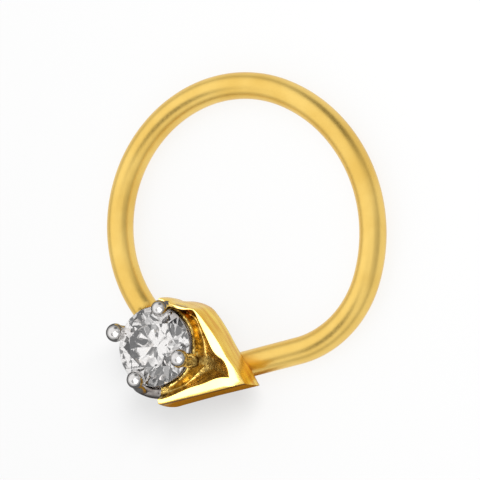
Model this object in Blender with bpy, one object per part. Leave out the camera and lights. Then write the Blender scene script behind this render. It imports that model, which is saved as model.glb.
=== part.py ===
"""Nose pin: a gold wire hoop that carries a folded gold frame and a claw-set round brilliant.

The pin lies on its side. The hoop's wire touches z = 0 and the stone's table faces up, +Z.
Lengths are in metres and angles in degrees. The pieces are shaped in head axes, whose origin
is on the stone's axis, with +X towards the frame's tip. The whole pin is then turned by
HEAD_TURN and moved so that its origin is the middle of its box, on the surface it lies on.
"""

import math

import bmesh
import bpy
from mathutils import Vector

# Hoop: one wire, described from the end that is soldered under the frame to its free end
WIRE_DIAMETER = 0.00090
WIRE_SIDES = 20
HOOP_RADIUS = 0.00475
RUN_OFFSET_SHARE = 0.243
RUN_LENGTH_SHARE = 0.980
RUN_HEADING = 32.3
ARC_STEP = 5.0
DOME_TURN = 80.0
DOME_STEPS = 4
# Radius as a share of HOOP_RADIUS, turn in degrees
HOOP_ARCS = (
    (0.698, 60.1),
    (1.049, 38.8),
    (1.132, 48.5),
    (0.954, 200.0),
)

# Brilliant: proportions are shares of the girdle's radius, slopes are from the horizontal
STONE_DIAMETER = 0.00267
GIRDLE_SIDES = 64
GIRDLE_HALF_SHARE = 0.022
TABLE_SHARE = 0.57
CROWN_SLOPE = 34.0
STAR_SLOPE = 20.5
UPPER_GIRDLE_SLOPE = 41.0
PAVILION_SLOPE = 41.0
LOWER_GIRDLE_SLOPE = 42.3

# Setting: four claws on a foot ring and a rail
CLAW_COUNT = 4
CLAW_SIDES = 14
CLAW_DIAMETER = 0.00050
CLAW_TIP_DIAMETER = 0.00057
CLAW_FOOT_DIAMETER = 0.00040
CLAW_OUTSET = 0.000065
CLAW_LEAN = 0.000095
CLAW_FOOT_INSET = 0.00001
CLAW_RISE = 0.00050
SETTING_DROP = 0.00122
RAIL_DIAMETER = 0.00026
RAIL_INSET = 0.00018
RAIL_DROP = 0.00055
RING_SEGMENTS = 48
RING_SIDES = 10
# Claw from the rail up: shares of CLAW_LEAN and CLAW_RISE, diameter
CLAW_LINE = (
    (0.20, -1.10, CLAW_DIAMETER),
    (0.00, -0.22, CLAW_DIAMETER),
    (0.00, 0.20, CLAW_DIAMETER),
    (0.34, 0.55, CLAW_DIAMETER),
    (0.81, 0.80, CLAW_TIP_DIAMETER),
    (1.00, 1.00, CLAW_TIP_DIAMETER),
)

# Frame: heights are from the surface that the pin lies on
SOLDER_DEPTH = 0.00006
FRAME_DEPTH = 0.00106
GIRDLE_BELOW_RIM = 0.00023
FLOOR_DEPTH = 0.00066
TIP_MARGIN = 0.00246
WING_X = 0.00109
WING_MARGIN = 0.00033
RIM_WIDTH = 0.00034
FRONT_BULGE = 0.00008
BACK_BULGE = 0.00021
WALL_BELLY = 0.00004
TOP_WALL = 0.00012
TOP_WALL_END = 97.0
TOP_WALL_RIM_SHARE = 1.25
TOP_WALL_STEPS = 4
LOWER_END = -61.0
LOWER_END_SHARE = 0.985
COLLAR_WIDTH = 0.00012
COLLAR_BELOW_GIRDLE = 0.00010
NARROW_COLLAR_SHARE = 0.6
# Between the collar and the rim: share of the way out, height as a share of FLOOR_DEPTH
SLOPE_TOP = (0.70, 0.40)
SLOPE_FOOT = (0.35, 0.00)

# Named clearances
STONE_CLEARANCE = 0.00002
CLAW_CLEARANCE = 0.00002
SEAT_CLEARANCE = 0.00003
END_GAP = 0.00010
# A claw is cut out of the frame where it stands within this turn of the frame
HOLE_REACH = 30.0

HEAD_TURN = -19.7

# Arms, from the tip to a wing: place along the arm, then shares of FRONT_BULGE, BACK_BULGE
# and RIM_WIDTH
UPPER_ARM = (
    (0.22, 0.15, 0.42, 0.72),
    (0.34, 0.10, 0.42, 0.50),
    (0.42, 0.40, 0.48, 0.80),
    (0.52, 0.80, 0.60, 1.00),
    (0.68, 1.00, 0.88, 0.80),
    (0.80, 0.90, 1.00, 0.60),
    (0.90, 0.70, 1.00, 0.38),
    (1.00, 0.00, 0.85, 0.15),
)
LOWER_ARM = (
    (0.24, 0.00, 0.00, 1.15),
    (0.34, 0.00, 0.00, 1.18),
    (0.48, 0.00, 0.00, 1.00),
    (0.64, 0.00, 0.05, 0.92),
    (0.78, 0.00, 0.10, 0.72),
    (0.90, 0.00, 0.15, 0.54),
    (1.00, 0.00, 0.20, 0.50),
)

STONE_RADIUS = STONE_DIAMETER / 2
WIRE_RADIUS = WIRE_DIAMETER / 2
CLAW_CIRCLE = STONE_RADIUS + CLAW_OUTSET
SETTING_RADIUS = CLAW_CIRCLE + CLAW_DIAMETER / 2
SEAT_RADIUS = STONE_RADIUS + SEAT_CLEARANCE
BACK_HEIGHT = WIRE_DIAMETER - SOLDER_DEPTH
RIM_HEIGHT = BACK_HEIGHT + FRAME_DEPTH
GIRDLE_HEIGHT = RIM_HEIGHT - GIRDLE_BELOW_RIM
TIP = Vector((STONE_RADIUS + TIP_MARGIN, 0.0))
UPPER_WING = Vector((WING_X, STONE_RADIUS + WING_MARGIN))
LOWER_WING = Vector((WING_X, -STONE_RADIUS - WING_MARGIN))


def heading(angle):
    """Unit vector in the plane of the hoop at an angle in degrees."""
    return Vector((math.cos(math.radians(angle)), math.sin(math.radians(angle))))


def raised(point, height):
    """A plan point at a height."""
    return Vector((point.x, point.y, height))


def add_object(name, bm, material=None):
    """Closes a bmesh into a scene object with smooth round faces and crisp edges."""
    bmesh.ops.recalc_face_normals(bm, faces=bm.faces)
    mesh = bpy.data.meshes.new(name)
    bm.to_mesh(mesh)
    bm.free()
    mesh.shade_smooth()
    mesh.set_sharp_from_angle(angle=math.radians(35))
    piece = bpy.data.objects.new(name, mesh)
    bpy.context.scene.collection.objects.link(piece)
    if material is not None:
        mesh.materials.append(material)
    return piece


def as_tool(piece):
    """Marks an object as a tool for a Boolean, which is no piece of the pin."""
    piece.hide_render = True
    piece.display_type = "WIRE"
    return piece


def boolean(target, tool, operation):
    """Adds a Boolean modifier that joins or cuts the target with the tool."""
    modifier = target.modifiers.new(tool.name, "BOOLEAN")
    modifier.object = as_tool(tool)
    modifier.operation = operation
    modifier.solver = "EXACT"


def bridge_rings(bm, rings, closed=False):
    """Joins rings of as many vertices each by quads, and caps both ends or closes the run."""
    pairs = list(zip(rings, rings[1:]))
    if closed:
        pairs.append((rings[-1], rings[0]))
    for near, far in pairs:
        for i in range(len(near)):
            j = (i + 1) % len(near)
            bm.faces.new((near[i], near[j], far[j], far[i]))
    if not closed:
        bm.faces.new(rings[0])
        bm.faces.new(rings[-1])


def swept_tube(stations, flat_axis, sides, closed=False):
    """A round tube through stations of (point, direction, radius) that lie in one plane."""
    bm = bmesh.new()
    rings = []
    for point, direction, radius in stations:
        across = flat_axis.cross(direction).normalized()
        ring = []
        for i in range(sides):
            turn = 2 * math.pi * (i + 0.5) / sides
            ring.append(bm.verts.new(point + radius * (math.cos(turn) * across + math.sin(turn) * flat_axis)))
        rings.append(ring)
    bridge_rings(bm, rings, closed)
    return bm


def dome(point, direction, radius, outward):
    """Stations of a rounded end, from its widest ring to its last; outward is 1 or -1."""
    stations = []
    for i in range(1, DOME_STEPS + 1):
        turn = math.radians(DOME_TURN * i / DOME_STEPS)
        centre = point + outward * math.sin(turn) * radius * direction
        stations.append((centre, direction, radius * math.cos(turn)))
    return stations


def hoop_path():
    """Points and headings of the hoop's centreline, cut clear of the setting at both ends."""
    angle = RUN_HEADING
    offset = RUN_OFFSET_SHARE * HOOP_RADIUS
    foot = offset * heading(angle - 90)
    clear = SETTING_RADIUS + END_GAP + WIRE_RADIUS
    run_start = math.sqrt(max(clear**2 - offset**2, 0.0))
    run_end = RUN_LENGTH_SHARE * HOOP_RADIUS
    path = [(foot + run_start * heading(angle), angle), (foot + run_end * heading(angle), angle)]
    point = path[-1][0]
    free_end = SEAT_RADIUS - RAIL_INSET + RAIL_DIAMETER / 2 + END_GAP + WIRE_RADIUS
    for number, (share, turn) in enumerate(HOOP_ARCS):
        radius = share * HOOP_RADIUS
        centre = point + radius * heading(angle + 90)
        steps = math.ceil(turn / ARC_STEP)
        for step in range(1, steps + 1):
            now = angle + turn * step / steps
            at = centre + radius * heading(now - 90)
            if number == len(HOOP_ARCS) - 1 and step > steps / 2 and at.length < free_end:
                return path
            path.append((at, now))
        point = path[-1][0]
        angle += turn
    return path


def hoop():
    """The wire, with a rounded end at each side."""
    up = Vector((0, 0, 1))
    body = []
    for point, angle in hoop_path():
        body.append((raised(point, WIRE_RADIUS), raised(heading(angle), 0), WIRE_RADIUS))
    start = dome(*body[0], -1)
    stations = start[::-1] + body + dome(*body[-1], 1)
    return add_object("hoop_wire", swept_tube(stations, up, WIRE_SIDES))


def frame_plan():
    """Plan points of the frame for each section, from the lower end to the end by the top claw.

    Each row holds the outer edge at the back, the outer edge of the rim and its inner edge.
    """
    rows = []
    end = heading(LOWER_END)
    for wing, table, side in ((LOWER_WING, LOWER_ARM[::-1], -1), (UPPER_WING, UPPER_ARM, 1)):
        arm = (wing - TIP).normalized()
        normal = Vector((arm.y, -arm.x)) * side
        if side > 0:
            corner = TIP - Vector((RIM_WIDTH / abs(arm.y), 0))
            rows.append((TIP, TIP, corner))
        for along, front, back, rim in table:
            at = TIP.lerp(wing, along)
            outer = at + front * FRONT_BULGE * normal
            rows.append((at + back * BACK_BULGE * normal, outer, outer - rim * RIM_WIDTH * normal))
    rows.insert(0, tuple(end * (point.length * LOWER_END_SHARE) for point in rows[0]))
    outer_y = SETTING_RADIUS + CLAW_CLEARANCE + TOP_WALL
    first = math.degrees(math.atan2(UPPER_WING.y, UPPER_WING.x))
    for step in range(1, TOP_WALL_STEPS + 1):
        angle = first + (TOP_WALL_END - first) * step / TOP_WALL_STEPS
        outer = heading(angle) * (outer_y / math.sin(math.radians(angle)))
        rows.append((outer, outer, heading(angle) * (outer.length - TOP_WALL_RIM_SHARE * TOP_WALL)))
    return rows


def frame():
    """The folded tray: a loft of sections from the seat out to the wall, rim and back."""
    floor = RIM_HEIGHT - FLOOR_DEPTH
    collar = GIRDLE_HEIGHT - COLLAR_BELOW_GIRDLE
    middle = (BACK_HEIGHT + RIM_HEIGHT) / 2
    bm = bmesh.new()
    rings = []
    for back, outer, inner in frame_plan():
        seat = inner.normalized() * SEAT_RADIUS
        collar_edge = seat * (1 + COLLAR_WIDTH / SEAT_RADIUS)
        if inner.length < collar_edge.length:
            collar_edge = seat.lerp(inner, NARROW_COLLAR_SHARE)
        belly = back.lerp(outer, 0.5) + outer.normalized() * WALL_BELLY
        section = (
            raised(seat, BACK_HEIGHT),
            raised(back, BACK_HEIGHT),
            raised(belly, middle),
            raised(outer, RIM_HEIGHT),
            raised(inner, RIM_HEIGHT),
            raised(collar_edge.lerp(inner, SLOPE_TOP[0]), floor + SLOPE_TOP[1] * FLOOR_DEPTH),
            raised(collar_edge.lerp(inner, SLOPE_FOOT[0]), floor + SLOPE_FOOT[1] * FLOOR_DEPTH),
            raised(collar_edge, collar),
            raised(seat, collar),
        )
        rings.append([bm.verts.new(point) for point in section])
    bridge_rings(bm, rings)
    return add_object("hoop_and_frame", bm, metal("yellow_gold", (0.80, 0.52, 0.14), 0.22))


def claw(name, turn, grow=0.0):
    """One claw: a shaft that rises past the girdle and leans in to a ball tip."""
    out = raised(heading(turn), 0)
    up = Vector((0, 0, 1))
    foot = GIRDLE_HEIGHT - SETTING_DROP
    # Distance from the stone's axis, height, diameter
    line = [(STONE_RADIUS - CLAW_FOOT_INSET, foot, CLAW_FOOT_DIAMETER)]
    for lean, rise, diameter in CLAW_LINE:
        line.append((CLAW_CIRCLE - lean * CLAW_LEAN, GIRDLE_HEIGHT + rise * CLAW_RISE, diameter))
    stations = []
    for i, (away, height, diameter) in enumerate(line):
        before = line[max(i - 1, 0)]
        after = line[min(i + 1, len(line) - 1)]
        direction = ((after[0] - before[0]) * out + (after[1] - before[1]) * up).normalized()
        stations.append((away * out + height * up, direction, diameter / 2 + grow))
    stations += dome(*stations[-1], 1)
    return add_object(name, swept_tube(stations, out.cross(up), CLAW_SIDES))


def ring(name, height, diameter):
    """A round wire ring about the stone's axis, inside the claws."""
    radius = STONE_RADIUS - RAIL_INSET
    stations = []
    for i in range(RING_SEGMENTS):
        turn = 360 * i / RING_SEGMENTS
        stations.append((raised(radius * heading(turn), height), raised(heading(turn + 90), 0), diameter / 2))
    return add_object(name, swept_tube(stations, Vector((0, 0, 1)), RING_SIDES, closed=True))


def claw_turns():
    """Where the claws stand about the stone, one of them on the frame's axis."""
    return [360 * i / CLAW_COUNT for i in range(CLAW_COUNT)]


def brilliant(name, grow=0.0):
    """A round brilliant cut from a round blank, facet by facet, as it is ground.

    grow moves every facet out, for the tool that cuts the stone's seat in the claws.
    """
    bm = bmesh.new()
    share = grow / STONE_RADIUS
    bmesh.ops.create_cone(
        bm, cap_ends=True, segments=GIRDLE_SIDES, radius1=1 + share, radius2=1 + share, depth=4
    )
    half = GIRDLE_HALF_SHARE
    step = 45.0
    rim = math.cos(math.radians(step / 4))
    table_edge = TABLE_SHARE * math.cos(math.radians(step / 2))
    table_height = half + (1 - TABLE_SHARE) * math.tan(math.radians(CROWN_SLOPE))
    # Count, first turn, slope, distance from the axis and height of a point on the facet
    cuts = [
        (8, 0.0, CROWN_SLOPE, 1.0, half),
        (16, step / 4, UPPER_GIRDLE_SLOPE, rim, half),
        (8, step / 2, STAR_SLOPE, table_edge, table_height),
        (1, 0.0, 0.0, 0.0, table_height),
        (8, 0.0, 180 - PAVILION_SLOPE, 1.0, -half),
        (16, step / 4, 180 - LOWER_GIRDLE_SLOPE, rim, -half),
    ]
    for count, first, slope, away, height in cuts:
        for i in range(count):
            turn = heading(first + 360 * i / count)
            tilt = math.radians(slope)
            normal = raised(math.sin(tilt) * turn, math.cos(tilt))
            point = raised(away * turn, height) + share * normal
            geometry = bm.verts[:] + bm.edges[:] + bm.faces[:]
            bmesh.ops.bisect_plane(
                bm, geom=geometry, dist=1e-6, plane_co=point, plane_no=normal, clear_outer=True
            )
            bmesh.ops.holes_fill(bm, edges=[edge for edge in bm.edges if edge.is_boundary])
    bmesh.ops.dissolve_degenerate(bm, dist=1e-5, edges=bm.edges)
    bmesh.ops.scale(bm, vec=(STONE_RADIUS,) * 3, verts=bm.verts)
    bmesh.ops.translate(bm, vec=(0, 0, GIRDLE_HEIGHT), verts=bm.verts)
    piece = add_object(name, bm, None if grow else crystal())
    piece.data.shade_flat()
    return piece


def metal(name, colour, roughness):
    """A polished precious metal."""
    material = bpy.data.materials.new(name)
    material.use_nodes = True
    shader = material.node_tree.nodes["Principled BSDF"]
    shader.inputs["Base Color"].default_value = (*colour, 1)
    shader.inputs["Metallic"].default_value = 1.0
    shader.inputs["Roughness"].default_value = roughness
    return material


def crystal():
    """The clear stone."""
    material = bpy.data.materials.new("diamond_crystal")
    material.use_nodes = True
    shader = material.node_tree.nodes["Principled BSDF"]
    shader.inputs["Base Color"].default_value = (0.95, 0.95, 0.96, 1)
    shader.inputs["Transmission Weight"].default_value = 1.0
    shader.inputs["Roughness"].default_value = 0.0
    shader.inputs["IOR"].default_value = 2.417
    return material


def setting():
    """Four claws, a rail and a foot ring in one white metal casting, notched for the stone."""
    turns = claw_turns()
    body = claw("claw_setting", turns[0])
    body.data.materials.append(metal("white_rhodium", (0.62, 0.61, 0.60), 0.12))
    for i, turn in enumerate(turns[1:], 2):
        boolean(body, claw(f"claw_{i}", turn), "UNION")
    foot = GIRDLE_HEIGHT - SETTING_DROP + RAIL_DIAMETER / 2
    boolean(body, ring("foot_ring", foot, RAIL_DIAMETER), "UNION")
    boolean(body, ring("rail", GIRDLE_HEIGHT - RAIL_DROP, RAIL_DIAMETER), "UNION")
    boolean(body, brilliant("stone_seat", STONE_CLEARANCE), "DIFFERENCE")
    return body


def gold_body():
    """The frame with the hoop soldered under it and the claws' holes cut through."""
    body = frame()
    boolean(body, hoop(), "UNION")
    for i, turn in enumerate(claw_turns()):
        if LOWER_END - HOLE_REACH < (turn + 180) % 360 - 180 < TOP_WALL_END + HOLE_REACH:
            boolean(body, claw(f"claw_hole_{i}", turn, CLAW_CLEARANCE), "DIFFERENCE")
    return body


def build():
    """Makes the pin and sets its origin under the middle of its box."""
    for old in list(bpy.data.objects):
        bpy.data.objects.remove(old, do_unlink=True)
    pieces = [gold_body(), setting(), brilliant("brilliant")]
    turn = math.radians(HEAD_TURN)
    bpy.context.view_layer.update()
    shown = bpy.context.evaluated_depsgraph_get()
    spots = []
    for piece in pieces:
        for corner in piece.evaluated_get(shown).data.vertices:
            x, y = corner.co.x, corner.co.y
            spots.append((x * math.cos(turn) - y * math.sin(turn), x * math.sin(turn) + y * math.cos(turn)))
    middle = [(min(side) + max(side)) / 2 for side in zip(*spots)]
    pin = bpy.data.objects.new("pin_axes", None)
    bpy.context.scene.collection.objects.link(pin)
    pin.rotation_euler.z = turn
    pin.location = (-middle[0], -middle[1], 0)
    for piece in list(bpy.context.scene.collection.objects):
        if piece is not pin:
            piece.parent = pin


build()
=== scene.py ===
# %% [markdown]
# # A gold nose pin with a claw-set brilliant
#
# The pin is four things on the real object: a round gold wire bent to a hoop, a small folded
# gold frame soldered on it, a white-plated setting of four claws, and one round brilliant.
# The solids of the part give their places and sizes. This lesson models their fine surfaces,
# gives each its metal or crystal, and lights and frames them as a jeweller's photographer would.

# %% Load the fixed frame
import math

import bmesh
import bpy
from mathutils import Matrix, Vector, noise


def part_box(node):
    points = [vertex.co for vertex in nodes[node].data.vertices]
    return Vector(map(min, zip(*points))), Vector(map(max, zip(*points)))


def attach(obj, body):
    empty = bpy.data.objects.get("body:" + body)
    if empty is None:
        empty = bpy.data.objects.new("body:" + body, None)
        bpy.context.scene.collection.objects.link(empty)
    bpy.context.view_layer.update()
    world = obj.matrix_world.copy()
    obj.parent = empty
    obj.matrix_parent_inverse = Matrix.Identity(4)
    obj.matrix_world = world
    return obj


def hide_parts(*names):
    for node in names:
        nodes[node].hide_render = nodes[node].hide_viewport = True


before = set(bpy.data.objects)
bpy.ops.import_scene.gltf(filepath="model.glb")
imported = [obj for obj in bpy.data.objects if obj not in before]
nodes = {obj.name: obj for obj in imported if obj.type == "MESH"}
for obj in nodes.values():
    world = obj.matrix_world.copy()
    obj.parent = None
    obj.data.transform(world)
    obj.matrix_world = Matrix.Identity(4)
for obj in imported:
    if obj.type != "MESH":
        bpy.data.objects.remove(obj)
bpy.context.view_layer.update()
MM = 0.001

# %% [markdown]
# Everything on the head is measured from the stone's axis, which is the middle of the stone's
# box. The head is turned in the plane of the hoop, so its own axes are turned by the same angle:
# +X runs from the stone to the frame's tip.

# %% Head axes
# Degrees from the frame's +X to the head's
HEAD_TURN = -19.7
WIRE_DIAMETER = 0.90 * MM
WIRE_RADIUS = WIRE_DIAMETER / 2
STONE_DIAMETER = 2.67 * MM
STONE_RADIUS = STONE_DIAMETER / 2
UP = Vector((0, 0, 1))
# The stone's girdle lies a little under the frame's rim
GIRDLE_UNDER_RIM = 0.23 * MM

stone_low, stone_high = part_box("brilliant")
RIM_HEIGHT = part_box("hoop_and_frame")[1].z
GIRDLE_HEIGHT = RIM_HEIGHT - GIRDLE_UNDER_RIM
STONE_AXIS = Vector(((stone_low.x + stone_high.x) / 2, (stone_low.y + stone_high.y) / 2, 0))
TO_HEAD = Matrix.Translation(STONE_AXIS) @ Matrix.Rotation(math.radians(HEAD_TURN), 4, "Z")


def heading(angle):
    """Unit vector in the plane of the hoop, in head axes, at an angle in degrees."""
    return Vector((math.cos(math.radians(angle)), math.sin(math.radians(angle)), 0))


print("stone's axis, mm:", [round(v / MM, 3) for v in STONE_AXIS.xy])

# %% [markdown]
# A round wire can be drawn in Blender as a curve with a bevel, but a goldsmith bends it round
# formers, and `spin` does just that: a ring of vertices is extruded for the straight run, then
# spun about each former's centre. Small steps and a high count of sides keep the outline round.

# %% Helpers that grow a tube from a ring
TUBE_SIDES = 40
# A rounded end is turned nearly to its pole, in degrees, and its last small ring is closed flat
DOME_TURN = 86


def ring_of(bm, point, direction, radius, sides=TUBE_SIDES):
    """A circle of edges whose middle is at a point and whose axis is a direction."""
    turn = direction.to_track_quat("Z", "Y").to_matrix().to_4x4()
    made = bmesh.ops.create_circle(
        bm, cap_ends=False, segments=sides, radius=radius, matrix=Matrix.Translation(point) @ turn
    )
    return list({edge for vert in made["verts"] for edge in vert.link_edges})


def middle_of(edges):
    """Middle of a ring of edges."""
    verts = {vert for edge in edges for vert in edge.verts}
    return sum((vert.co for vert in verts), Vector()) / len(verts)


def pull(bm, edges, point, direction, radius, before):
    """Extrudes a ring to a new middle, direction and radius; before holds the old three."""
    made = bmesh.ops.extrude_edge_only(bm, edges=edges)["geom"]
    verts = [item for item in made if isinstance(item, bmesh.types.BMVert)]
    old_point, old_direction, old_radius = before
    turn = old_direction.rotation_difference(direction).to_matrix().to_4x4()
    size = Matrix.Scale(radius / old_radius, 4)
    move = Matrix.Translation(point) @ turn @ size @ Matrix.Translation(-old_point)
    bmesh.ops.transform(bm, matrix=move, verts=verts)
    return [item for item in made if isinstance(item, bmesh.types.BMEdge)]


def grow_tube(bm, stations, sides=TUBE_SIDES):
    """A closed round bar through stations of (point, direction, radius)."""
    edges = ring_of(bm, *stations[0], sides)
    bmesh.ops.contextual_create(bm, geom=edges)
    for before, station in zip(stations, stations[1:]):
        edges = pull(bm, edges, *station, before)
    bmesh.ops.contextual_create(bm, geom=edges)


def dome(point, direction, radius, outward, steps=8):
    """Stations of a rounded end, from its widest ring outwards."""
    stations = []
    for i in range(1, steps + 1):
        turn = math.radians(DOME_TURN * i / steps)
        centre = point + outward * math.sin(turn) * radius * direction
        stations.append((centre, direction, radius * math.cos(turn)))
    return stations


print("a tube has", TUBE_SIDES, "sides")

# %% [markdown]
# Every piece is finished in the same way: doubled vertices are merged, faces are turned outwards,
# and the mesh is shaded smooth with its sharp edges kept. Its object stays at the origin,
# unturned and unscaled, and the solid it stands for is hidden.

# %% Finishing a piece


def finish_piece(name, bm, materials, stands_for, smooth_angle=40):
    """Places a bmesh made in head axes as a smooth object that rides on the pin."""
    bmesh.ops.remove_doubles(bm, verts=bm.verts, dist=1e-7)
    bmesh.ops.recalc_face_normals(bm, faces=bm.faces)
    bmesh.ops.transform(bm, matrix=TO_HEAD, verts=bm.verts)
    mesh = bpy.data.meshes.new(name)
    bm.to_mesh(mesh)
    bm.free()
    mesh.shade_smooth()
    mesh.set_sharp_from_angle(angle=math.radians(smooth_angle))
    for material in materials:
        mesh.materials.append(material)
    piece = bpy.data.objects.new(name, mesh)
    bpy.context.scene.collection.objects.link(piece)
    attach(piece, "root")
    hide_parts(stands_for)
    print(name, "faces:", len(mesh.polygons))
    return piece


# %% [markdown]
# ## Gold
#
# 18 carat yellow gold is an alloy with copper and silver, so it reflects warm yellow. On the wire
# it has the soft satin of a pumice and rubber wheel: fine grain that spreads a reflection into a
# band. The frame's rim is mirror polished, its walls are brushed along their length, and the
# floor keeps the skin of the casting. One function makes them all, because the metal is the same
# and only the grain, the polish and the tone change. Colours are written as the hex values that
# a colour picker shows, and `linear` turns them to the values that the shader works with.

# %% Node helpers
# Numbers of the Mix node's colour sockets, which share their names with its other sockets
MIX_A, MIX_B, MIX_RESULT = 6, 7, 2


def linear(code):
    """Linear colour of an sRGB hex value such as "F0C45A"."""
    values = [int(code[i : i + 2], 16) / 255 for i in (0, 2, 4)]
    return [v / 12.92 if v <= 0.04045 else ((v + 0.055) / 1.055) ** 2.4 for v in values] + [1]


def connect(node, inputs):
    """Feeds a node's inputs, by name or number, with values or with output sockets."""
    for key, value in inputs.items():
        if isinstance(value, bpy.types.NodeSocket):
            node.id_data.links.new(value, node.inputs[key])
        else:
            node.inputs[key].default_value = value


def add_node(tree, kind, inputs, **settings):
    """Adds a node with its settings, and feeds its inputs."""
    node = tree.nodes.new(kind)
    for key, value in settings.items():
        setattr(node, key, value)
    connect(node, inputs)
    return node


def new_material(name):
    """The material, its node tree and its Principled shader."""
    material = bpy.data.materials.new(name)
    material.use_nodes = True
    return material, material.node_tree, material.node_tree.nodes["Principled BSDF"]


print("pale gold in linear light:", [round(v, 3) for v in linear("FDD778")])

# %% [markdown]
# The tint drifts in soft clouds, and a finer noise gives the grain, which sets the polish and a
# very shallow relief. Both are stretched along the plane of the hoop where a brush has drawn
# them. The cells of the noise are given in real millimetres.

# %% Golds
# The span of a noise over which a finish goes from one state to the other
NOISE_LOW, NOISE_HIGH = 0.35, 0.65


def gold(name, pale, deep, cloud_mm, drawn, rough, grain_mm, bump_mm):
    """Yellow gold whose tint and polish vary over the surface.

    drawn is how many times longer than high the marks are, as a brush or a wheel leaves them.
    """
    material, tree, shader = new_material(name)
    place = add_node(tree, "ShaderNodeTexCoord", {}).outputs["Object"]
    stretched = {"Vector": place, "Scale": (1, 1, drawn)}
    along = add_node(tree, "ShaderNodeMapping", stretched).outputs["Vector"]
    cloud = add_node(
        tree, "ShaderNodeTexNoise", {"Vector": along, "Scale": 1 / (cloud_mm * MM), "Detail": 3.0}
    )
    grain = add_node(
        tree, "ShaderNodeTexNoise", {"Vector": along, "Scale": 1 / (grain_mm * MM), "Detail": 4.0}
    ).outputs["Fac"]
    span = {"From Min": NOISE_LOW, "From Max": NOISE_HIGH}
    share = add_node(tree, "ShaderNodeMapRange", {"Value": cloud.outputs["Fac"], **span})
    tint = add_node(
        tree,
        "ShaderNodeMix",
        {"Factor": share.outputs["Result"], MIX_A: linear(deep), MIX_B: linear(pale)},
        data_type="RGBA",
    )
    polish = add_node(
        tree, "ShaderNodeMapRange", {"Value": grain, "To Min": rough[0], "To Max": rough[1], **span}
    )
    relief = add_node(
        tree, "ShaderNodeBump", {"Height": grain, "Strength": 0.5, "Distance": bump_mm * MM}
    )
    connect(
        shader,
        {
            "Base Color": tint.outputs[MIX_RESULT],
            "Metallic": 1.0,
            "Roughness": polish.outputs["Result"],
            "Normal": relief.outputs["Normal"],
        },
    )
    print(name, "marks of", grain_mm, "mm, roughness", rough)
    return material


# Satin wire: grain of 0.06 mm, coarser than the real 0.01 mm so that it shows
satin_gold = gold("satin_yellow_gold", "FDD778", "F2C866", 1.6, 1, (0.28, 0.38), 0.06, 0.002)
# Polished rim: nearly a mirror, with the faint waves that hand polishing leaves
bright_gold = gold("polished_yellow_gold", "F4D17A", "ECC468", 1.6, 1, (0.08, 0.16), 0.35, 0.004)
# Brushed walls: strokes along the wall, drawn ten times coarser than real so that they show
brushed_gold = gold("brushed_yellow_gold", "FFDE64", "E8B044", 1.3, 6, (0.22, 0.34), 0.25, 0.004)
# Cast floor: the skin that the mould leaves, with pits of about 0.1 mm
cast_gold = gold("cast_yellow_gold", "E8C670", "7C5A20", 0.28, 1, (0.12, 0.28), 0.10, 0.05)
# Edge under the rim on its lower side: a dark gold that is painted shade under the rim's lip
painted_shade_edge_gold = gold("rim_edge_painted_shade_gold", "8A5F1C", "6A4410", 0.6, 1, (0.30, 0.42), 0.08, 0.003)

# %% [markdown]
# ## Rhodium
#
# The claws are plated with rhodium, a cold grey-white metal that is nearly a mirror once it is
# polished, and a few fine lines from the polishing mop keep it from looking like chrome. Below
# the girdle no mop reaches, so the plate there is rougher, over the skin of the casting, and its
# greyer tone there is painted shade under the stone.

# %% Rhodium
# Heights from the girdle where the mop begins to reach the claws and where they are full bright;
# the same heights lift the painted shade under the stone
MOP_AND_SHADE_FROM = -0.20 * MM
MOP_AND_SHADE_FULL = 0.15 * MM


def rhodium():
    """Rhodium plate whose polish rises with the height over the girdle, and whose tone rises with
    it as painted shade under the stone.
    """
    material, tree, shader = new_material("rhodium_plate")
    place = add_node(tree, "ShaderNodeTexCoord", {}).outputs["Object"]
    height = add_node(tree, "ShaderNodeSeparateXYZ", {"Vector": place}).outputs["Z"]
    low, high = GIRDLE_HEIGHT + MOP_AND_SHADE_FROM, GIRDLE_HEIGHT + MOP_AND_SHADE_FULL
    mopped_and_lit = add_node(
        tree, "ShaderNodeMapRange", {"Value": height, "From Min": low, "From Max": high}
    ).outputs["Result"]
    lines = add_node(
        tree, "ShaderNodeTexNoise", {"Vector": place, "Scale": 1 / (0.12 * MM), "Detail": 3.0}
    ).outputs["Fac"]
    share = add_node(tree, "ShaderNodeMapRange", {"Value": lines, "From Min": 0.3, "From Max": 0.7})
    tones = []
    # The darker pair of tones, below the girdle, is painted shade under the stone; the paler pair
    # is the plate's own tone
    for deep, pale in (("857E7A", "AAA4A0"), ("DAD7D5", "E8E6E4")):
        inputs = {"Factor": share.outputs["Result"], MIX_A: linear(deep), MIX_B: linear(pale)}
        tones.append(add_node(tree, "ShaderNodeMix", inputs, data_type="RGBA").outputs[MIX_RESULT])
    blend = {"Factor": mopped_and_lit, MIX_A: tones[0], MIX_B: tones[1]}
    tint = add_node(tree, "ShaderNodeMix", blend, data_type="RGBA")
    skin = add_node(tree, "ShaderNodeMapRange", {"Value": mopped_and_lit, "To Min": 0.24, "To Max": 0.05})
    polish = add_node(
        tree,
        "ShaderNodeMapRange",
        {"Value": lines, "To Min": skin.outputs["Result"], "To Max": 0.16},
    )
    relief = add_node(
        tree, "ShaderNodeBump", {"Height": lines, "Strength": 0.3, "Distance": 0.003 * MM}
    )
    connect(
        shader,
        {
            "Base Color": tint.outputs[MIX_RESULT],
            "Metallic": 1.0,
            "Roughness": polish.outputs["Result"],
            "Normal": relief.outputs["Normal"],
        },
    )
    return material


white_metal = rhodium()
print("the plate is full bright from", MOP_AND_SHADE_FULL / MM, "mm over the girdle")

# %% [markdown]
# ## Diamond
#
# The brilliant is diamond: clear, of very high index, so that every facet flashes white or black.
# Its girdle is bruted, which leaves it matt, so the roughness follows the height in the stone.
# The facets stay flat and sharp, as the cutter leaves them.

# %% Diamond
DIAMOND_INDEX = 2.417
GIRDLE_HALF = 0.022 * STONE_RADIUS
# Where the matt ends and the polish begins, as shares of the girdle's half height
MATT_TO, POLISH_FROM = 0.98, 1.02


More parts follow.
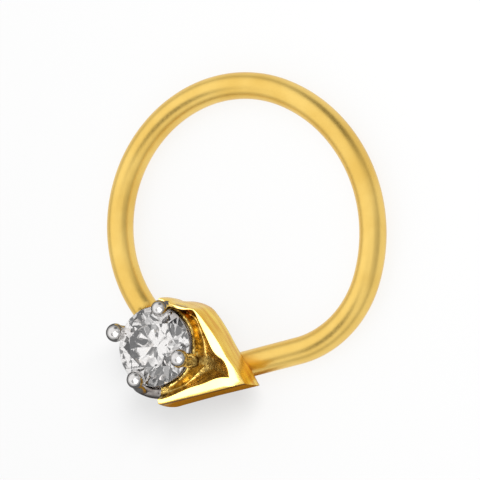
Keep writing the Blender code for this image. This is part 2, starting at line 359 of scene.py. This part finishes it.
def diamond():
    """Clear diamond with a matt girdle."""
    material, tree, shader = new_material("cut_diamond")
    place = add_node(tree, "ShaderNodeTexCoord", {}).outputs["Object"]
    height = add_node(tree, "ShaderNodeSeparateXYZ", {"Vector": place}).outputs["Z"]
    above = add_node(tree, "ShaderNodeMath", {0: height, 1: GIRDLE_HEIGHT}, operation="SUBTRACT")
    away = add_node(tree, "ShaderNodeMath", {0: above.outputs["Value"]}, operation="ABSOLUTE")
    grit = add_node(tree, "ShaderNodeTexNoise", {"Vector": place, "Scale": 1 / (0.02 * MM)})
    matt = add_node(
        tree, "ShaderNodeMapRange", {"Value": grit.outputs["Fac"], "To Min": 0.2, "To Max": 0.5}
    )
    polish = add_node(
        tree,
        "ShaderNodeMapRange",
        {
            "Value": away.outputs["Value"],
            "From Min": MATT_TO * GIRDLE_HALF,
            "From Max": POLISH_FROM * GIRDLE_HALF,
            "To Min": matt.outputs["Result"],
            "To Max": 0.0,
        },
    )
    connect(
        shader,
        {
            "Base Color": linear("FAF7F5"),
            "Roughness": polish.outputs["Result"],
            "IOR": DIAMOND_INDEX,
            "Specular IOR Level": 0.3,
            "Transmission Weight": 1.0,
        },
    )
    return material


crystal = diamond()
stone = nodes["brilliant"]
stone.data.materials.clear()
stone.data.materials.append(crystal)
print("girdle of the stone, mm:", round(2 * GIRDLE_HALF / MM, 3))

# %% [markdown]
# ## Hoop
#
# The hoop is near a circle, with one tighter corner and a straight run that is soldered under
# the frame. The other end is rounded and stands free behind the setting, which is how the pin
# goes through the piercing.

# %% Hoop
HOOP_RADIUS = 4.75 * MM
# The straight run: how far it passes from the stone's axis, where it ends, and its heading
RUN_OFFSET = 0.243 * HOOP_RADIUS
RUN_END = 0.980 * HOOP_RADIUS
RUN_HEADING = 32.3
# Radius as a share of HOOP_RADIUS, turn in degrees
HOOP_ARCS = ((0.698, 60.1), (1.049, 38.8), (1.132, 48.5), (0.954, 200.0))
# How far the claws and the rail reach from the stone's axis, and how far the wire keeps off them
SETTING_RADIUS = STONE_RADIUS + 0.315 * MM
RAIL_OUTSIDE = STONE_RADIUS - 0.02 * MM
END_GAP = 0.10 * MM
DEGREES_A_STEP = 2.0


def arc_until(start, angle, radius, turn, stop):
    """Degrees of an arc from start before it comes within stop of the stone's axis."""
    centre = start + radius * heading(angle + 90)
    passed = turn / 2
    while passed < turn:
        at = centre + radius * heading(angle + passed - 90)
        if Vector((at.x, at.y)).length < stop:
            return passed
        passed += DEGREES_A_STEP / 2
    return turn


def make_hoop():
    """The wire, from its rounded end under the frame round to its free end."""
    bm = bmesh.new()
    foot = RUN_OFFSET * heading(RUN_HEADING - 90)
    clear = SETTING_RADIUS + END_GAP + WIRE_RADIUS
    lift = WIRE_RADIUS * UP
    along = heading(RUN_HEADING)
    start = foot + math.sqrt(clear**2 - RUN_OFFSET**2) * along + lift
    stations = dome(start, along, WIRE_RADIUS, -1)[::-1]
    stations += [(start, along, WIRE_RADIUS), (foot + RUN_END * along + lift, along, WIRE_RADIUS)]
    edges = ring_of(bm, *stations[0])
    bmesh.ops.contextual_create(bm, geom=edges)
    for before, station in zip(stations, stations[1:]):
        edges = pull(bm, edges, *station, before)
    angle = RUN_HEADING
    for number, (share, turn) in enumerate(HOOP_ARCS):
        radius = share * HOOP_RADIUS
        point = middle_of(edges)
        if number == len(HOOP_ARCS) - 1:
            turn = arc_until(point, angle, radius, turn, RAIL_OUTSIDE + END_GAP + WIRE_RADIUS)
        centre = point + radius * heading(angle + 90)
        made = bmesh.ops.spin(
            bm,
            geom=edges + list({vert for edge in edges for vert in edge.verts}),
            cent=centre,
            axis=UP,
            angle=math.radians(turn),
            steps=math.ceil(turn / DEGREES_A_STEP),
            use_merge=False,
        )
        edges = [item for item in made["geom_last"] if isinstance(item, bmesh.types.BMEdge)]
        angle += turn
        expected = centre + radius * heading(angle - 90)
        print("arc end off by, mm:", round((middle_of(edges) - expected).length / MM, 5))
    last = (middle_of(edges), heading(angle), WIRE_RADIUS)
    for station in dome(*last, 1):
        edges = pull(bm, edges, *station, last)
        last = station
    bmesh.ops.contextual_create(bm, geom=edges)
    return finish_piece("hoop_wire", bm, [satin_gold], "hoop_and_frame")


hoop = make_hoop()

# %% [markdown]
# ## Frame
#
# The frame is cast: a wall with a flat bright rim, folded at the tip, and a floor that sinks
# between the rim and a low collar round the stone. It could be cut from a block, but its section
# changes all the way round, so it is lofted: each section is one closed loop of edges, and
# `bridge_loops` joins one loop to the next. The tables give the changes as shares of real sizes.

# %% Frame sizes
BACK_HEIGHT = WIRE_DIAMETER - 0.06 * MM
FLOOR_DEPTH = 0.66 * MM
TIP = Vector((STONE_RADIUS + 2.46 * MM, 0, 0))
WING_X = 1.09 * MM
WING_Y = STONE_RADIUS + 0.33 * MM
RIM_WIDTH = 0.34 * MM
FRONT_BULGE = 0.08 * MM
BACK_BULGE = 0.21 * MM
WALL_BELLY = 0.04 * MM
TOP_RIM = 0.10 * MM
# Behind the top claw: turn in degrees, then distance of the rim and of the back edge in mm
TOP_WALL = (
    (66, 1.755, 2.03),
    (76, 1.62, 1.86),
    (86, 1.57, 1.70),
    (94, 1.61, 1.69),
    (101, 1.62, 1.68),
)
LOWER_END = -61.0
# The lower end stands a little nearer to the stone than the row before it
LOWER_END_DRAWN_IN = 0.985
SEAT_RADIUS = STONE_RADIUS + 0.03 * MM
COLLAR_WIDTH = 0.12 * MM
COLLAR_HEIGHT = GIRDLE_HEIGHT - 0.10 * MM

# Place along the arm from the tip, then shares of FRONT_BULGE, BACK_BULGE and RIM_WIDTH
UPPER_ARM = (
    (0.22, 0.15, 0.42, 0.72),
    (0.34, 0.10, 0.42, 0.50),
    (0.42, 0.40, 0.48, 0.80),
    (0.52, 0.80, 0.60, 1.00),
    (0.68, 1.00, 0.88, 0.80),
    (0.80, 0.90, 1.00, 0.60),
    (0.90, 0.70, 1.00, 0.38),
    (1.00, 0.00, 0.85, 0.15),
)
LOWER_ARM = (
    (0.24, 0.00, 0.00, 1.15),
    (0.34, 0.00, 0.00, 1.18),
    (0.48, 0.00, 0.00, 1.00),
    (0.64, 0.00, 0.05, 0.92),
    (0.78, 0.00, 0.10, 0.72),
    (0.90, 0.00, 0.15, 0.54),
    (1.00, 0.00, 0.20, 0.50),
)
print("frame from, mm:", round(BACK_HEIGHT / MM, 3), "to", round(RIM_HEIGHT / MM, 3))

# %% [markdown]
# Seen from above, the frame is three lines: the edge of its back, and the rim's outer and inner
# edges. They run from the lower end round the tip to the wall behind the top claw, and a smooth
# curve through the given rows fills in the rows between.

# %% Frame plan
STEPS_BETWEEN = 4


def plan_rows(wing, table, side):
    """Back edge, rim's outer edge and rim's inner edge for each row of an arm."""
    arm = (wing - TIP).normalized()
    normal = Vector((arm.y, -arm.x, 0)) * side
    rows = []
    for along, front, back, rim in table:
        at = TIP.lerp(wing, along)
        outer = at + front * FRONT_BULGE * normal
        rows.append((at + back * BACK_BULGE * normal, outer, outer - rim * RIM_WIDTH * normal))
    return rows


def smooth_rows(rows):
    """Puts in-between rows on a smooth curve through the given ones."""
    fine = []
    for i in range(len(rows) - 1):
        around = [rows[max(i - 1, 0)], rows[i], rows[i + 1], rows[min(i + 2, len(rows) - 1)]]
        for step in range(STEPS_BETWEEN):
            t = step / STEPS_BETWEEN
            row = []
            for a, b, c, d in zip(*around):
                curve = 2 * b + (c - a) * t + (2 * a - 5 * b + 4 * c - d) * t**2
                row.append((curve + (3 * b - 3 * c + d - a) * t**3) / 2)
            fine.append(tuple(row))
    return fine + [rows[-1]]


def frame_plan():
    """All rows from the lower end, round the tip, to the end behind the top claw."""
    lower = plan_rows(Vector((WING_X, -WING_Y, 0)), LOWER_ARM, -1)[::-1]
    end = heading(LOWER_END)
    lower.insert(0, tuple(end * (point.length * LOWER_END_DRAWN_IN) for point in lower[0]))
    upper = plan_rows(Vector((WING_X, WING_Y, 0)), UPPER_ARM, 1)
    wall = []
    for angle, rim, back in TOP_WALL:
        way = heading(angle) * MM
        wall.append((back * way, rim * way, rim * way - TOP_RIM * heading(angle)))
    arm = (upper[0][1] - TIP).normalized()
    corner = TIP - Vector((RIM_WIDTH / abs(arm.y), 0, 0))
    tip = (TIP, TIP, corner)
    return smooth_rows(lower) + [tip] + smooth_rows(upper + wall)


print("rows in the frame's plan:", len(frame_plan()))

# %% [markdown]
# Each section climbs the wall, crosses the rim, sinks to the floor and rises to the collar. The
# floor gets the uneven skin of a casting. Real edges are never quite sharp, so the crisp ones
# are bevelled, and each kind of face gets its own finish of gold; the faces just under the rim
# on its lower side get a dark gold that is painted shade.

# %% Frame sections
WALL_STEPS = 8
SLOPE_STEPS = 9
# Share of the way from rim to collar where the floor is deepest
DEEPEST = 0.75
# Share of the depth at the tray's lower end, and the turn, in degrees, until it is full
SHALLOW_END = 0.40
DEEPENS_OVER = 30.0
# Share of the room that the collar takes where the rim comes close to the stone
COLLAR_SHARE = 0.6
# Share of the collar's width from its outer edge to its crest, and how far its edges are rounded
COLLAR_CREST = 0.3
COLLAR_ROUND = 0.02 * MM
FLOOR_GRAIN = 0.45 * MM
FLOOR_RELIEF = 0.05 * MM


def section(back, outer, inner):
    """One closed loop of points through the wall, rim, floor and collar at a row of the plan."""
    seat = inner.normalized() * SEAT_RADIUS
    edge = seat * (1 + COLLAR_WIDTH / SEAT_RADIUS)
    if inner.length < edge.length:
        edge = seat.lerp(inner, COLLAR_SHARE)
    turn = math.degrees(math.atan2(inner.y, inner.x))
    deepened = min(max((turn - LOWER_END) / DEEPENS_OVER, 0), 1)
    floor_height = RIM_HEIGHT - (SHALLOW_END + (1 - SHALLOW_END) * deepened) * FLOOR_DEPTH
    points = [seat + BACK_HEIGHT * UP]
    for i in range(WALL_STEPS + 1):
        t = i / WALL_STEPS
        bow = 4 * t * (1 - t) * WALL_BELLY * outer.normalized()
        height = BACK_HEIGHT + t * (RIM_HEIGHT - BACK_HEIGHT)
        points.append(back.lerp(outer, t) + bow + height * UP)
    points.append(inner + RIM_HEIGHT * UP)
    for i in range(1, SLOPE_STEPS):
        t = i / SLOPE_STEPS
        if t < DEEPEST:
            high, sink = RIM_HEIGHT, math.sin(math.pi * t / DEEPEST / 2)
        else:
            high, sink = COLLAR_HEIGHT, 1 - ((t - DEEPEST) / (1 - DEEPEST)) ** 2
        points.append(inner.lerp(edge, t) + (high - sink * (high - floor_height)) * UP)
    points.append(edge + (COLLAR_HEIGHT - COLLAR_ROUND) * UP)
    points.append(edge.lerp(seat, COLLAR_CREST) + COLLAR_HEIGHT * UP)
    points.append(seat + (COLLAR_HEIGHT - COLLAR_ROUND / 2) * UP)
    return points


# Edges that turn more than this, in degrees, are bevelled
CRISP_ANGLE = 50
EDGE_BEVEL = 0.018 * MM
# A point inside the tray, from the stone's axis, that tells outer faces from inner ones
TRAY_MIDDLE = 1.7 * MM
# Places of the golds in the frame's list of materials; the rest of it is polished
ON_FLOOR, ON_WALL, ON_SHADED_EDGE = 1, 2, 3
# How much the normals of walls and of level faces rise
WALL_RISE, LEVEL_RISE = 0.3, 0.9
# How far under the rim the floor's skin begins, and how high the band of painted shade under the
# rim reaches on the wall
SKIN_UNDER_RIM = 0.05 * MM
SHADED_EDGE_HEIGHT = 0.13 * MM


def make_frame():
    """The frame, bridged from section to section, bevelled and dressed in its golds."""
    bm = bmesh.new()
    loops = []
    floor_from = WALL_STEPS + 3
    for row in frame_plan():
        points = section(*row)
        verts = [bm.verts.new(point) for point in points]
        loops.append([bm.edges.new((a, b)) for a, b in zip(verts, verts[1:] + verts[:1])])
        for vert in verts[floor_from:-3]:
            vert.co.z += FLOOR_RELIEF * noise.noise(vert.co / FLOOR_GRAIN)
    for near, far in zip(loops, loops[1:]):
        bmesh.ops.bridge_loops(bm, edges=near + far)
    bmesh.ops.contextual_create(bm, geom=loops[0])
    bmesh.ops.contextual_create(bm, geom=loops[-1])
    bmesh.ops.recalc_face_normals(bm, faces=bm.faces)
    crisp = [
        edge
        for edge in bm.edges
        if len(edge.link_faces) == 2 and edge.calc_face_angle() > math.radians(CRISP_ANGLE)
    ]
    bmesh.ops.bevel(
        bm, geom=crisp, offset=EDGE_BEVEL, segments=2, profile=0.5, affect="EDGES", material=-1
    )
    golds = [bright_gold, cast_gold, brushed_gold, painted_shade_edge_gold]
    piece = finish_piece("frame_tray", bm, golds, "hoop_and_frame", smooth_angle=35)
    piece.modifiers.new("flat_faces", "WEIGHTED_NORMAL").keep_sharp = True
    tray_middle = TO_HEAD @ Vector((TRAY_MIDDLE, 0, 0))
    for face in piece.data.polygons:
        rise, height = face.normal.z, face.center.z
        outwards = (face.center - tray_middle).xy.dot(face.normal.xy)
        if height < RIM_HEIGHT - SKIN_UNDER_RIM and rise > WALL_RISE:
            face.material_index = ON_FLOOR
        elif abs(rise) < WALL_RISE and outwards > 0 and face.normal.y > 0:
            face.material_index = ON_WALL
        # Faces just under the rim, on the lower side, take the dark gold of painted shade
        elif height > RIM_HEIGHT - SHADED_EDGE_HEIGHT and rise < LEVEL_RISE and face.normal.y < -WALL_RISE:
            face.material_index = ON_SHADED_EDGE
    return piece


tray = make_frame()

# %% [markdown]
# ## Claw setting
#
# Four claws rise from a foot ring and a rail, lean in over the girdle and end in balls that
# the setter has pushed down and burnished round. Each is a bar grown from a ring of vertices,
# with its radius changing along the way.

# %% Claws and rings
CLAW_CIRCLE = STONE_RADIUS + 0.065 * MM
CLAW_SIDES = 28
# The wire rings that hold the claws: the foot and the rail
RING_CIRCLE = STONE_RADIUS - 0.18 * MM
RING_WIRE = 0.26 * MM
RING_SIDES = 20
RING_STEPS = 72
FOOT_HEIGHT = GIRDLE_HEIGHT - 1.22 * MM
RAIL_HEIGHT = GIRDLE_HEIGHT - 0.55 * MM
# The lug that ties the lowest claw to the frame's end, and the turns, in degrees, where it
# starts, ends, would be thinned to nothing and is full
LUG_CIRCLE = 1.49 * MM
LUG_HEIGHT = GIRDLE_HEIGHT - 0.42 * MM
LUG_RADIUS = 0.24 * MM
LUG_SIDES = 24
LUG_FROM, LUG_TO, LUG_STEP = -116, -68, 4
LUG_THIN_AT, LUG_FULL_AT = -140, -100
# Distance from CLAW_CIRCLE, height over the girdle and diameter, in mm
CLAW_LINE = (
    (-0.075, -1.22, 0.40),
    (-0.04, -0.90, 0.45),
    (-0.02, -0.55, 0.50),
    (0.0, -0.20, 0.50),
    (0.0, 0.10, 0.49),
    (-0.02, 0.20, 0.47),
    (-0.045, 0.29, 0.47),
    (-0.07, 0.36, 0.51),
    (-0.085, 0.43, 0.555),
    (-0.095, 0.50, 0.57),
)
# Height over the girdle, in mm, from which a claw is all tip
TIP_HIGH = 0.5
# Each claw is pushed by hand, so no two are alike: turn, share of the shaft's width and of the
# tip's width, and how far in it is bent in mm
CLAWS = (
    (0, 1.00, 1.12, 0.00),
    (90, 0.82, 1.00, 0.00),
    (180, 1.00, 1.10, 0.00),
    (270, 1.00, 1.06, 0.10),
)


def claw_stations(turn, shaft_share, tip_share, bent):
    """Stations of a claw from its foot to its rounded tip."""
    out = heading(turn)
    line = []
    for away, high, size in CLAW_LINE:
        share = min(max(high / TIP_HIGH, 0), 1)
        line.append((
            CLAW_CIRCLE + (away - bent * share) * MM,
            GIRDLE_HEIGHT + high * MM,
            size * (shaft_share + (tip_share - shaft_share) * share) * MM,
        ))
    stations = []
    for i, (away, height, size) in enumerate(line):
        before, after = line[max(i - 1, 0)], line[min(i + 1, len(line) - 1)]
        direction = ((after[0] - before[0]) * out + (after[1] - before[1]) * UP).normalized()
        stations.append((away * out + height * UP, direction, size / 2))
    return stations + dome(*stations[-1], 1)


def make_setting():
    """Four claws, the lug, the foot ring and the rail in one plated basket."""
    bm = bmesh.new()
    for claw in CLAWS:
        grow_tube(bm, claw_stations(*claw), CLAW_SIDES)
    lug = []
    for turn in range(LUG_FROM, LUG_TO + 1, LUG_STEP):
        swell = min((turn - LUG_THIN_AT) / (LUG_FULL_AT - LUG_THIN_AT), 1)
        middle = LUG_CIRCLE * heading(turn) + LUG_HEIGHT * UP
        lug.append((middle, heading(turn + 90), swell * LUG_RADIUS))
    grow_tube(bm, dome(*lug[0], -1)[::-1] + lug + dome(*lug[-1], 1), LUG_SIDES)
    for height in (FOOT_HEIGHT + RING_WIRE / 2, RAIL_HEIGHT):
        start = Vector((RING_CIRCLE, 0, height))
        ring = ring_of(bm, start, Vector((0, 1, 0)), RING_WIRE / 2, RING_SIDES)
        bmesh.ops.spin(
            bm,
            geom=ring + list({vert for edge in ring for vert in edge.verts}),
            cent=(0, 0, 0),
            axis=UP,
            angle=math.tau,
            steps=RING_STEPS,
            use_merge=True,
        )
    return finish_piece(
        "claw_basket", bm, [white_metal], "claw_setting", smooth_angle=60
    )


basket = make_setting()

# %% [markdown]
# ## Floor
#
# The pin lies on a sheet of white acrylic in a white tent. The sheet glows a little, as one that
# is lit from below, so that it stays white beside the metal. In the metal it has its own
# brightness, because mirrored white metal needs something dark round it to show its shape: the
# floor's glow is kept off the claws, as a photographer does with black card.

# %% Floor
FLOOR_SIZE = 3.0
# Brightness and colour of the sheet itself, then as the metal sees it
FLOOR_GLOW = 0.62
FLOOR_WHITE = "7C7C7C"
FLOOR_IN_METAL = 0.72
FLOOR_FLAGGED = "505050"


def light_only(source, *pieces):
    """Keeps a lamp's or a glowing piece's light to the named pieces."""
    lit = bpy.data.collections.new(source.name + "_lights")
    for piece in pieces:
        lit.objects.link(piece)
    source.light_linking.receiver_collection = lit


def level_sheet(name, width, height, place):
    """A level sheet beside the pin, out of which a floor or a card is made."""
    bm = bmesh.new()
    size = Matrix.Translation(place) @ Matrix.Diagonal((width, height, 1, 1))
    bmesh.ops.create_grid(bm, x_segments=1, y_segments=1, size=0.5, matrix=size)
    mesh = bpy.data.meshes.new(name)
    bm.to_mesh(mesh)
    bm.free()
    sheet = bpy.data.objects.new(name, mesh)
    bpy.context.scene.collection.objects.link(sheet)
    return sheet


def make_floor():
    """The glowing white sheet, which keeps its glow off the claws."""
    floor = level_sheet("floor", FLOOR_SIZE, FLOOR_SIZE, Vector())
    material, tree, shader = new_material("white_acrylic")
    mirrored = add_node(tree, "ShaderNodeLightPath", {}).outputs["Is Glossy Ray"]
    base = add_node(
        tree,
        "ShaderNodeMix",
        {"Factor": mirrored, MIX_A: linear(FLOOR_WHITE), MIX_B: linear(FLOOR_FLAGGED)},
        data_type="RGBA",
    )
    glows = {"Value": mirrored, "To Min": FLOOR_GLOW, "To Max": FLOOR_IN_METAL}
    glow = add_node(tree, "ShaderNodeMapRange", glows)
    connect(
        shader,
        {
            "Base Color": base.outputs[MIX_RESULT],
            "Roughness": 0.9,
            "Specular IOR Level": 0.0,
            "Emission Color": (1, 1, 1, 1),
            "Emission Strength": glow.outputs["Result"],
        },
    )
    floor.data.materials.append(material)
    light_only(floor, hoop, tray, stone)
    return floor


floor = make_floor()
print("glow of the floor:", FLOOR_GLOW, "and in metal:", FLOOR_IN_METAL)

# %% [markdown]
# ## Camera
#
# The camera looks down on the pin from its right, as far from the hoop's axis as the narrowing
# of the hoop tells: its width is cos 28.85 degrees of its real width. A long distance keeps the
# perspective slight, as with the macro lens that such small things are taken with.

# %% Camera
VIEW_TILT = 28.85
VIEW_TOWARDS = 170.0
CAMERA_DISTANCE = 150 * MM
PICTURE_SIDE = 16.0 * MM
# The stone's middle in the picture, from the centre, in mm of the plane through it
STONE_RIGHT = -2.853 * MM
STONE_UP = -3.548 * MM
# Full frame, in mm
SENSOR_WIDTH = 36


def view_axes():
    """Right, up and backward axes of the camera: the pin is tilted from it towards its left."""
    lean = Vector((-math.sin(math.radians(VIEW_TOWARDS)), math.cos(math.radians(VIEW_TOWARDS)), 0))
    turn = Matrix.Rotation(math.radians(VIEW_TILT), 3, lean)
    return [Vector(row) for row in turn]


right, top, toward = view_axes()
aim = STONE_AXIS + GIRDLE_HEIGHT * UP - STONE_RIGHT * right - STONE_UP * top
lens = bpy.data.cameras.new("product_camera")
lens.sensor_width = SENSOR_WIDTH
lens.lens = SENSOR_WIDTH * CAMERA_DISTANCE / PICTURE_SIDE
lens.clip_start = 0.01
lens.clip_end = 20
camera = bpy.data.objects.new("product_camera", lens)
bpy.context.scene.collection.objects.link(camera)
camera.matrix_world = Matrix.Translation(aim + CAMERA_DISTANCE * toward) @ Matrix(
    (right, top, toward)
).transposed().to_4x4()
bpy.context.scene.camera = camera
print("camera looks from, degrees above the floor:", round(math.degrees(math.asin(toward.z)), 1))

# %% [markdown]
# ## Light
#
# Jewellery is shot in a white tent, brighter on the side of the lamps. Polished wire shows
# whatever is round it, so grey flags on the tent draw the dark line down the middle of the wire.
# The stone looks into a room of patches instead of an even white, or its facets would all turn
# the same grey.

# %% Tent
TENT_WHITE = 0.90
# Panels of the tent: turn and height in degrees, how far from its middle each is full and has
# faded, and how bright it is. The first is the side of the lamps, the others are grey flags.
PANELS = (
    (175, 35, 25, 110, 1.16),
    (0, 35, 8, 24, 0.60),
    (71, 26, 9, 25, 0.25),
    (257, 63, 9, 22, 0.15),
)
# The tent's skirt is dimmer: sines of the heights where it starts to fade and has faded
SKIRT_TO = 0.50
SKIRT_FROM = 0.25
SKIRT_GREY = 0.55
# The room that the stone sees: size of its patches, its place in the noise, darkest and brightest
ROOM_SCALE, ROOM_SEED, ROOM_BLACK, ROOM_WHITE = 2.6, 6.8, 0.10, 1.1
# The span of the noise over which a patch goes from the darkest to the brightest
ROOM_LOW, ROOM_HIGH = 0.45, 0.54


def make_world():
    """The tent that the metal sees, and the patchy room that the stone sees."""
    world = bpy.data.worlds.new("white_tent")
    world.use_nodes = True
    bpy.context.scene.world = world
    tree = world.node_tree
    place = add_node(tree, "ShaderNodeTexCoord", {}).outputs["Generated"]
    height = add_node(tree, "ShaderNodeSeparateXYZ", {"Vector": place}).outputs["Z"]
    skirt = {"Value": height, "From Min": SKIRT_FROM, "From Max": SKIRT_TO}
    skirt.update({"To Min": SKIRT_GREY * TENT_WHITE, "To Max": TENT_WHITE})
    tent = add_node(
        tree, "ShaderNodeMapRange", skirt, interpolation_type="SMOOTHSTEP"
    ).outputs["Result"]
    for turn, high, full, gone, grey in PANELS:
        lift = math.radians(high)
        way = heading(turn) * math.cos(lift) + UP * math.sin(lift)
        facing = add_node(tree, "ShaderNodeVectorMath", {0: place, 1: way}, operation="DOT_PRODUCT")
        panel = {
            "Value": facing.outputs["Value"],
            "From Min": math.cos(math.radians(gone)),
            "From Max": math.cos(math.radians(full)),
            "To Min": 1.0,
            "To Max": grey,
        }
        share = add_node(tree, "ShaderNodeMapRange", panel, interpolation_type="SMOOTHSTEP")
        tent = add_node(
            tree, "ShaderNodeMath", {0: tent, 1: share.outputs["Result"]}, operation="MULTIPLY"
        ).outputs["Value"]
    room = add_node(
        tree,
        "ShaderNodeTexNoise",
        {"Vector": place, "Scale": ROOM_SCALE, "Detail": 1.0, "W": ROOM_SEED},
        noise_dimensions="4D",
    )
    patches = {"Value": room.outputs["Fac"], "From Min": ROOM_LOW, "From Max": ROOM_HIGH}
    patches.update({"To Min": ROOM_BLACK, "To Max": ROOM_WHITE})
    contrast = add_node(tree, "ShaderNodeMapRange", patches)
    path = add_node(tree, "ShaderNodeLightPath", {})
    choose = add_node(
        tree,
        "ShaderNodeMix",
        {
            "Factor": path.outputs["Is Transmission Ray"],
            MIX_A: tent,
            MIX_B: contrast.outputs["Result"],
        },
        data_type="RGBA",
    )
    connect(tree.nodes["Background"], {"Color": choose.outputs[MIX_RESULT]})
    print("tent of", len(PANELS), "panels")


make_world()

# %% [markdown]
# Lamps that are kept to one piece stand for reflectors held close to it: one fills the rim, one
# puts a spark on each claw. The key lights only the sheet and draws the soft shadow of the head.

# %% Lamps
# Distance, side and brightness of the reflector whose image fills the rim from the camera
RIM_AWAY, RIM_SIDE, RIM_RADIANCE = 80 * MM, 42 * MM, 4.0
RIM_MIDDLE = TO_HEAD @ Vector((2.95 * MM, 0, RIM_HEIGHT))
# The soft box in the claws' balls, and how far below the camera it stands, in degrees
CLAW_AWAY, CLAW_SIDE, CLAW_RADIANCE = 60 * MM, 72 * MM, 0.85
CLAW_BOX_TURN = 18
KEY_PLACE, KEY_SIDE, KEY_RADIANCE = Vector((95, 75, 150)) * MM, 115 * MM, 13.0


def make_light(name, place, aim_at, side, radiance):
    """A square soft box of a given brightness that doesn't show in the picture."""
    data = bpy.data.lights.new(name, "AREA")
    data.size = side
    data.energy = radiance * math.pi * side**2
    lamp = bpy.data.objects.new(name, data)
    bpy.context.scene.collection.objects.link(lamp)
    lamp.location = place
    lamp.rotation_mode = "QUATERNION"
    lamp.rotation_quaternion = (place - aim_at).to_track_quat("Z", "Y")
    lamp.visible_camera = False
    return lamp


glance = Vector((-toward.x, -toward.y, toward.z))
rim_place = RIM_MIDDLE + RIM_AWAY * glance
light_only(make_light("rim_reflector", rim_place, RIM_MIDDLE, RIM_SIDE, RIM_RADIANCE), tray)
claw_glance = Matrix.Rotation(math.radians(CLAW_BOX_TURN), 3, right) @ toward
claw_place = STONE_AXIS + CLAW_AWAY * claw_glance
light_only(make_light("claw_softbox", claw_place, STONE_AXIS, CLAW_SIDE, CLAW_RADIANCE), basket)
# The key's image is kept out of the metal, and it casts the shadow of the head, not of the wire
key = make_light("key_softbox", KEY_PLACE, STONE_AXIS, KEY_SIDE, KEY_RADIANCE)
key.visible_glossy = False
key.visible_transmission = False
light_only(key, floor)
head_shadow = bpy.data.collections.new("head_shadow")
for piece in (tray, basket):
    head_shadow.objects.link(piece)
key.light_linking.blocker_collection = head_shadow

# %% [markdown]
# The lower wall of the frame leans over the sheet and would mirror its white, where under the
# head there is shade. A tan card under it, seen only in the metal, paints that shade into the
# wall's reflection, so that it turns brown. The card's edges are faded out, or the metal would
# show them as a stain.

# %% Tan card of painted shade
# Colour of the painted shade that the lower wall mirrors
SHADE_CARD_COLOUR = "B8861C"
CARD_MIDDLE = Vector((-1.3, -5.5, 0.02)) * MM
# Half sizes of the card; the fade begins at this share of the way out
CARD_HALF = Vector((3.0, 2.0, 1.0)) * MM
CARD_SOLID_TO = 0.65


def make_card():
    """The card of painted shade with its faded edges, seen only in the metal."""
    card = level_sheet("painted_shade_card", 2 * CARD_HALF.x, 2 * CARD_HALF.y, CARD_MIDDLE)
    felt, tree, shader = new_material("painted_shade_felt")
    place = add_node(tree, "ShaderNodeTexCoord", {}).outputs["Object"]
    from_middle = add_node(
        tree, "ShaderNodeVectorMath", {0: place, 1: CARD_MIDDLE}, operation="SUBTRACT"
    ).outputs["Vector"]
    in_shares = add_node(
        tree, "ShaderNodeVectorMath", {0: from_middle, 1: CARD_HALF}, operation="DIVIDE"
    ).outputs["Vector"]
    away = add_node(tree, "ShaderNodeVectorMath", {0: in_shares}, operation="LENGTH")
    solid = add_node(
        tree,
        "ShaderNodeMapRange",
        {"Value": away.outputs["Value"], "From Min": 1.0, "From Max": CARD_SOLID_TO},
        interpolation_type="SMOOTHSTEP",
    )
    inputs = {"Base Color": linear(SHADE_CARD_COLOUR), "Roughness": 1.0, "Alpha": solid.outputs["Result"]}
    connect(shader, inputs)
    card.data.materials.append(felt)
    for kind in ("camera", "diffuse", "transmission", "shadow"):
        setattr(card, "visible_" + kind, False)
    return card


card = make_card()
bpy.context.scene.view_settings.view_transform = "Standard"
print("card of, mm:", [round(2 * v / MM, 1) for v in CARD_HALF.xy])
